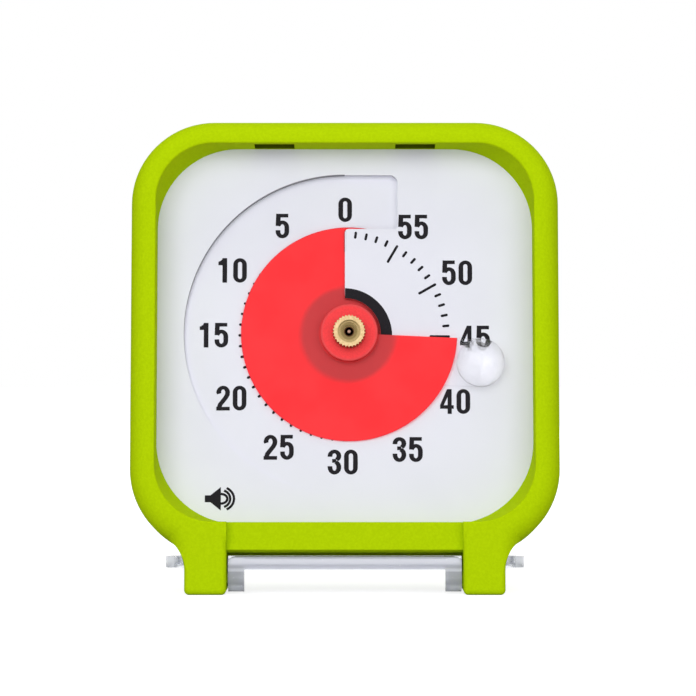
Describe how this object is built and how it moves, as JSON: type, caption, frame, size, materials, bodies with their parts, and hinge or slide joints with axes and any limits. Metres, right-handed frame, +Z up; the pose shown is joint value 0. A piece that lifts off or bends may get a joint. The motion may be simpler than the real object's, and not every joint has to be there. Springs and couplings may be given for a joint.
{
  "type": "visual countdown timer",
  "caption": "Square desk countdown timer with a red disc that shrinks as time passes, on two feet and a folded-back clear cover.",
  "frame": {"origin": "on the table, at the bottom centre of the bounding box of the timer as it stands", "axes": "+Z up, +X to the right as one faces the dial, +Y backwards, away from the dial, which leans back"},
  "size_m": [0.0762, 0.082, 0.0838],
  "materials": {
    "green_case": "finely grained moulded plastic, satin",
    "clear_plastic": "clear moulded acrylic, polished",
    "dial_white": "matt white",
    "disc_red": "translucent red film",
    "hub_red": "satin red",
    "brass": "turned brass",
    "steel": "zinc-plated",
    "movement_plastic": "moulded",
    "wheel_plastic": "moulded acetal",
    "laminated_steel": "stamped",
    "copper_wire": "enamelled copper",
    "circuit_green": "fibreglass board",
    "buzzer_black": "moulded",
    "cell_wrap": "printed sleeve",
    "switch_black": "moulded"
  },
  "bodies": {
    "case": {"front_bezel": "green_case", "rear_cover": "green_case", "case_screws": "steel", "dial_plate": "dial_white", "train_bridge": "movement_plastic", "movement_front_case": "movement_plastic", "movement_rear_case": "movement_plastic", "battery_cell": "cell_wrap", "battery_spring": "steel", "battery_contact": "steel", "stator": "laminated_steel", "drive_coil": "copper_wire", "circuit_board": "circuit_green", "buzzer": "buzzer_black", "alert_switch_body": "switch_black"},
    "hub": {"disc_hub": "hub_red", "hub_washer": "brass", "disc_nut": "brass", "minute_tube": "brass", "centre_wheel": "wheel_plastic"},
    "disc": {"time_disc": "disc_red", "disc_tab": "clear_plastic", "setting_knob": "clear_plastic"},
    "third_wheel": {"third_wheel": "wheel_plastic"},
    "second_wheel": {"second_wheel": "wheel_plastic", "seconds_arbor": "steel"},
    "rotor": {"rotor": "movement_plastic"},
    "cover": {"clear_cover": "clear_plastic"},
    "battery_door": {"battery_door": "green_case"},
    "alert_slider": {"alert_switch_slider": "switch_black"}
  },
  "joints": [
    {"name": "disc_turn", "type": "hinge", "parent": "case", "child": "hub", "pos_m": [0.00075, -0.03579, 0.04673], "axis": [0, 0.9935, -0.1141], "range_deg": [-92.6, 267.4]},
    {"name": "disc_thread", "type": "slide", "parent": "hub", "child": "disc", "axis": [0, 0.9935, -0.1141], "range_m": [-0.00056, 0.00162]},
    {"name": "third_wheel_turn", "type": "hinge", "parent": "case", "child": "third_wheel", "pos_m": [-0.00561, -0.03651, 0.04041], "axis": [0, 0.9935, -0.1141], "range_deg": [-2140.2, 741.8]},
    {"name": "second_wheel_turn", "type": "hinge", "parent": "case", "child": "second_wheel", "pos_m": [0.00075, -0.03579, 0.04673], "axis": [0, 0.9935, -0.1141], "range_deg": [-5561, 16049]},
    {"name": "rotor_spin", "type": "hinge", "parent": "case", "child": "rotor", "pos_m": [0.01275, -0.03438, 0.05895], "axis": [0, 0.9935, -0.1141], "continuous": true},
    {"name": "cover_fold", "type": "hinge", "parent": "case", "child": "cover", "pos_m": [0, -0.03672, 0.00265], "axis": [1, 0, 0], "range_deg": [-273.22, 0]},
    {"name": "battery_door_lift", "type": "slide", "parent": "case", "child": "battery_door", "axis": [0, 0.9935, -0.1141], "range_m": [0, 0.02]},
    {"name": "alert_switch_slide", "type": "slide", "parent": "case", "child": "alert_slider", "axis": [0, 0.1141, 0.9935], "range_m": [0, 0.0025]}
  ],
  "couplings": [
    {"joint": "disc_thread", "follows": "disc_turn", "m_per_rad": 0.00034696},
    {"joint": "third_wheel_turn", "follows": "disc_turn", "ratio": -8},
    {"joint": "second_wheel_turn", "follows": "disc_turn", "ratio": 60}
  ]
}
